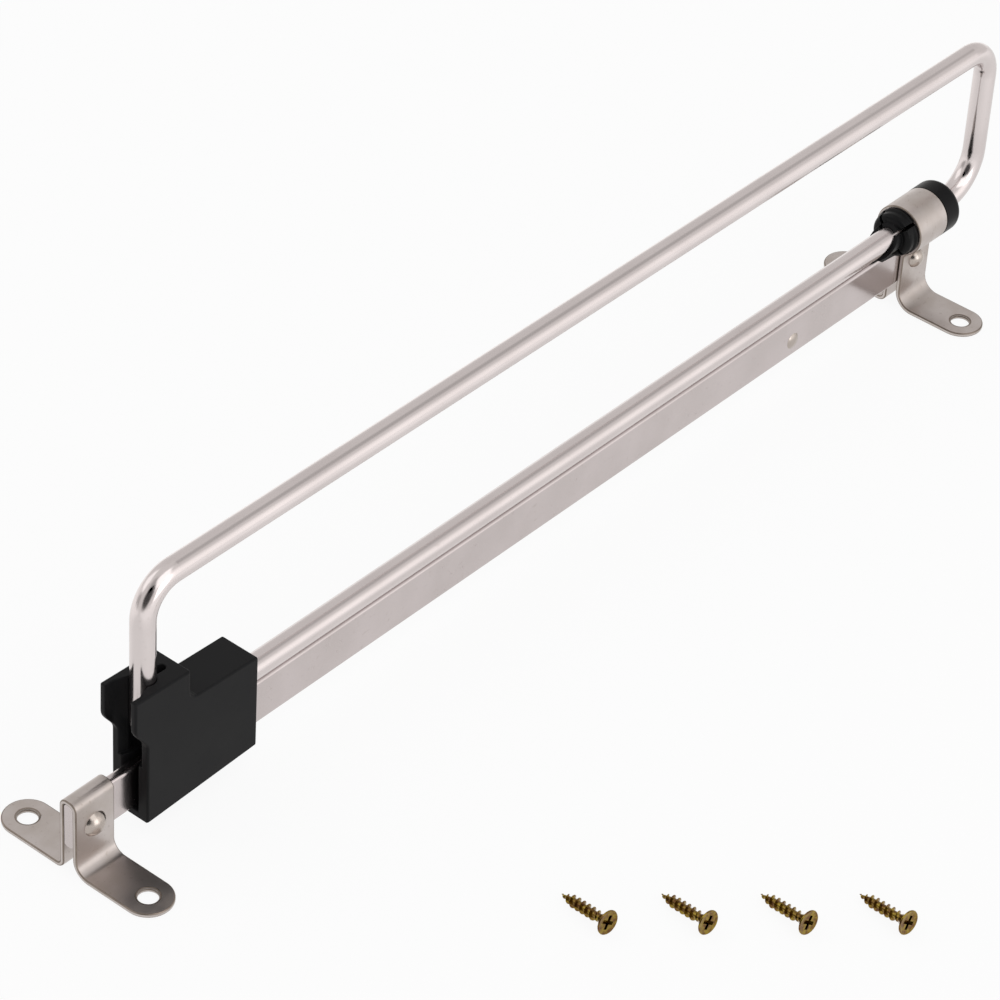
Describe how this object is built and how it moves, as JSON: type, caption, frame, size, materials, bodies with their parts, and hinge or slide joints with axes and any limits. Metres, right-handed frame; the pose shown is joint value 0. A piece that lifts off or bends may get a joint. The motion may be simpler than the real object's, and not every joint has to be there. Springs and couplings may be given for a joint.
{
  "type": "pull-out clothes rail",
  "caption": "Pull-out clothes rail: a round rod bent into a long loop that slides along a flat rail on two folded steel feet, through a plastic bush, with a plastic slider at the back.",
  "frame": {"origin": "centre of the rectangle of four screw holes, in the plane of the undersides of the feet", "axes": "+X along the rail, the way the loop pulls out; +Z out of the mounting surface, towards the hanging rod; +Y across the rail"},
  "size_m": [0.4543, 0.2296, 0.0935],
  "materials": {
    "bright_nickel": "polished nickel plate",
    "rod_nickel": "mirror nickel plate",
    "satin_nickel": "satin nickel plate",
    "rivet_nickel": "tumbled nickel plate",
    "black_plastic": "satin moulded black",
    "yellow_zinc": "yellow passivated zinc"
  },
  "bodies": {
    "fixed_rail": {"rail": "bright_nickel", "rear_saddle": "satin_nickel", "rear_rivet": "rivet_nickel", "front_strap": "satin_nickel", "front_rivet": "rivet_nickel", "stop_pin": "bright_nickel", "guide_bush": "black_plastic", "fixing_screws": "yellow_zinc"},
    "pull_out_loop": {"loop_rod": "rod_nickel", "slider_block": "black_plastic"}
  },
  "joints": [
    {"name": "pull_out", "type": "slide", "parent": "fixed_rail", "child": "pull_out_loop", "axis": [1, 0, 0], "range_m": [0, 0.2708]}
  ]
}
